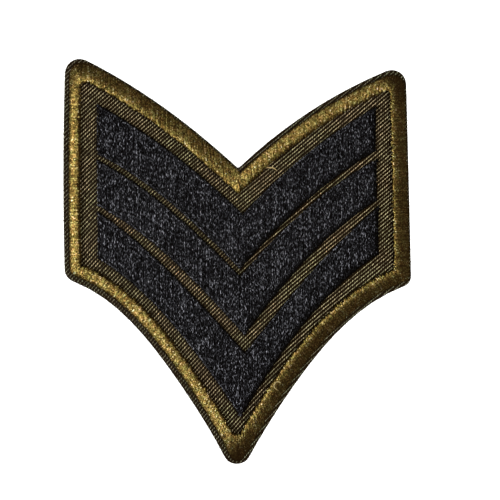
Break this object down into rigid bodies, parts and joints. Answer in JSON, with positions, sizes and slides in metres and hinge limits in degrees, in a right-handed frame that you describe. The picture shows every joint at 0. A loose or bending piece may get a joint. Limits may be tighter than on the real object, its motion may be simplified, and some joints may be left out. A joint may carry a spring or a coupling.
{
  "type": "embroidered rank chevron patch",
  "caption": "Shield-shaped cloth patch with a notched top and a pointed foot, a raised satin-stitched border and stacked V-shaped chevrons, flat on its back.",
  "frame": {"origin": "middle of the outline's box, on the flat back face that rests on the surface", "axes": "+X to the patch's right as it is read, +Y up the patch from its point to its notch, +Z out of its stitched face"},
  "size_m": [0.0858, 0.1002, 0.0023],
  "materials": {
    "twill_olive": "matt diagonal twill weave",
    "satin_gold": "shiny satin-stitched thread",
    "thread_black": "fill-stitched thread with a soft shine"
  },
  "bodies": {
    "root": {"twill_base": "twill_olive", "satin_border": "satin_gold", "chevron_upper": "thread_black", "chevron_middle": "thread_black", "chevron_lower": "thread_black"}
  },
  "joints": []
}
